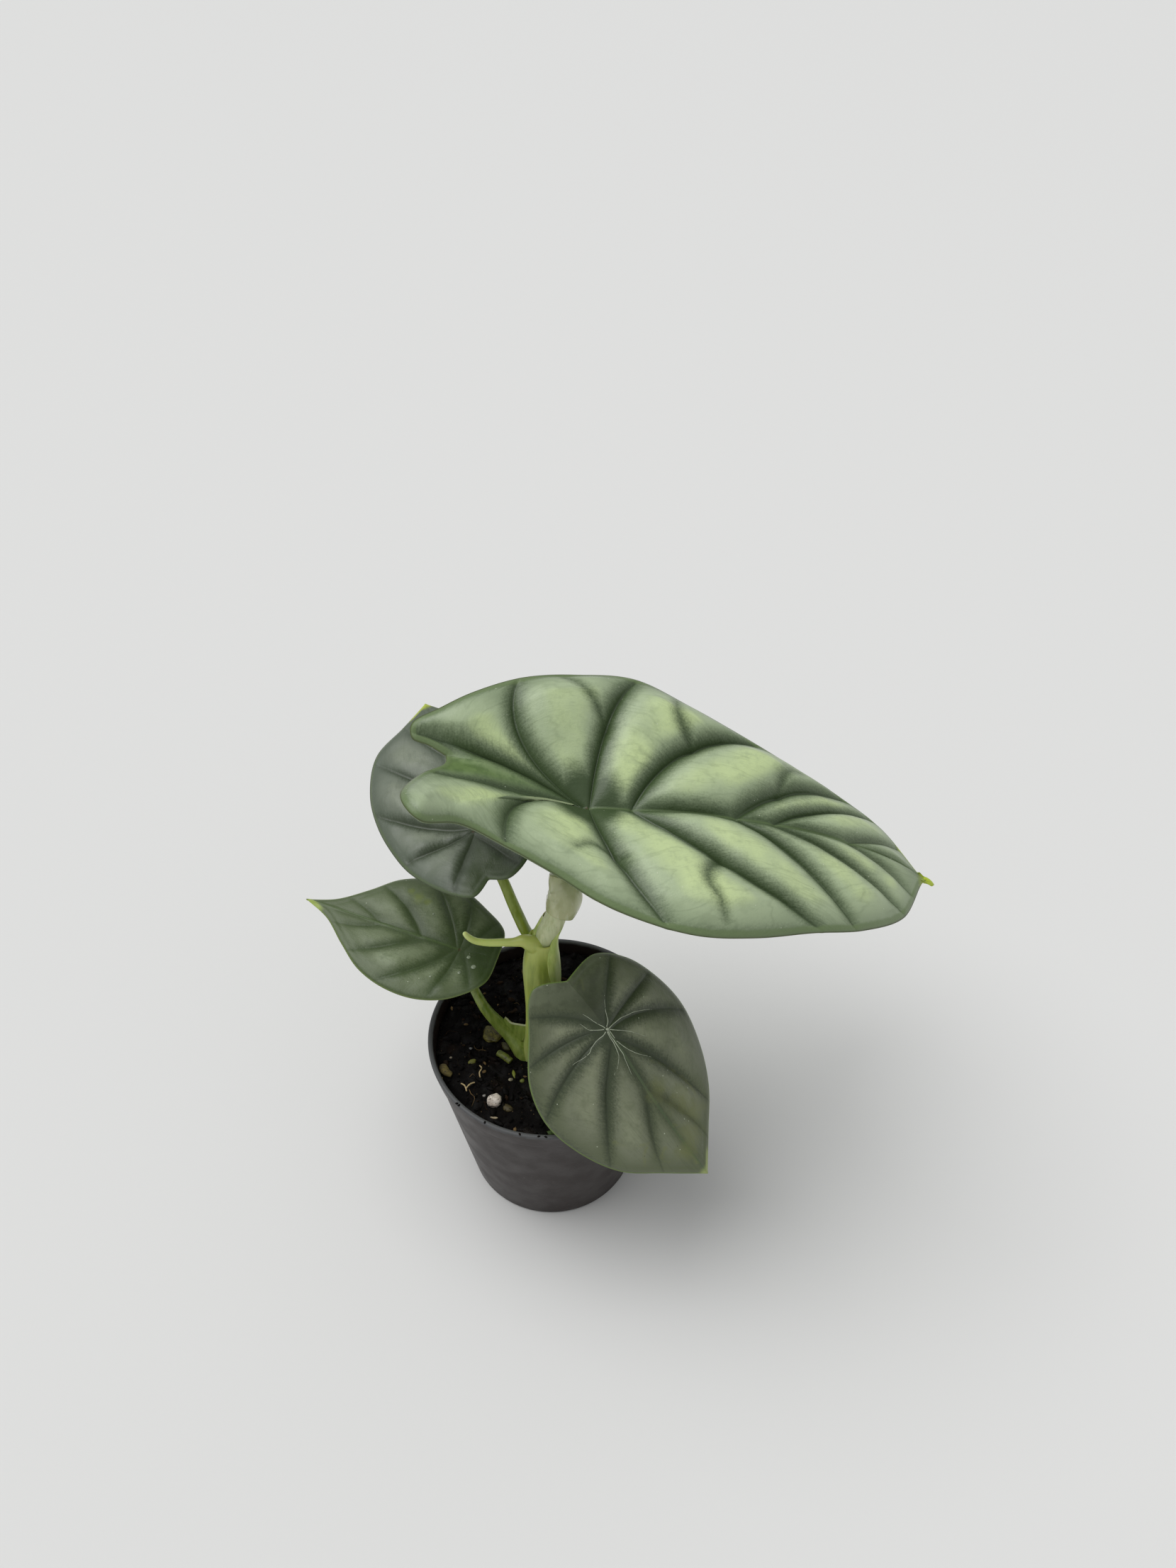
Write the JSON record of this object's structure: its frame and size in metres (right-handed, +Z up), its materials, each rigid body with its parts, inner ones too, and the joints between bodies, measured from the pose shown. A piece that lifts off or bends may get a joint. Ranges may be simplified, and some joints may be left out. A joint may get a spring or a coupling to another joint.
{
  "type": "potted silver dragon alocasia",
  "caption": "Young aroid house plant with thick silvery, dark-veined, pillowed leaves on short stalks round a sheathed crown, in a small round tapered nursery pot filled with peat.",
  "frame": {"origin": "middle of the pot's flat underside, on the surface it stands on", "axes": "+Z up along the pot's axis; +X towards the big leaf's tip, which is the right of someone who looks along +Y"},
  "size_m": [0.153, 0.096, 0.133],
  "materials": {
    "pot_plastic": "matte moulded plastic with fine scuffs and soil smudges",
    "peat": null,
    "perlite": "rough and pitted",
    "bark": "dry and matte",
    "sheath_green": null,
    "stalk_green": "fleshy, semi-gloss",
    "pale_skin": "thin, shiny and slightly translucent",
    "silver_leaf": "silvery satin with broad dark green bands along the veins",
    "shaded_leaf": "grey-green satin with dark green bands along the veins"
  },
  "bodies": {
    "root": {"pot": "pot_plastic", "soil": "peat", "perlite_crumb": "perlite", "bark_chip": "bark", "leaf_stub": "sheath_green", "withered_scale": "bark", "crown": "sheath_green", "back_sheath": "sheath_green", "stalk_big": "stalk_green", "stalk_back": "stalk_green", "stalk_left": "stalk_green", "stalk_front": "stalk_green", "stalk_sleeve": "pale_skin", "leaf_big": "silver_leaf", "leaf_back": "shaded_leaf", "leaf_left": "shaded_leaf", "leaf_front": "shaded_leaf"}
  },
  "joints": []
}
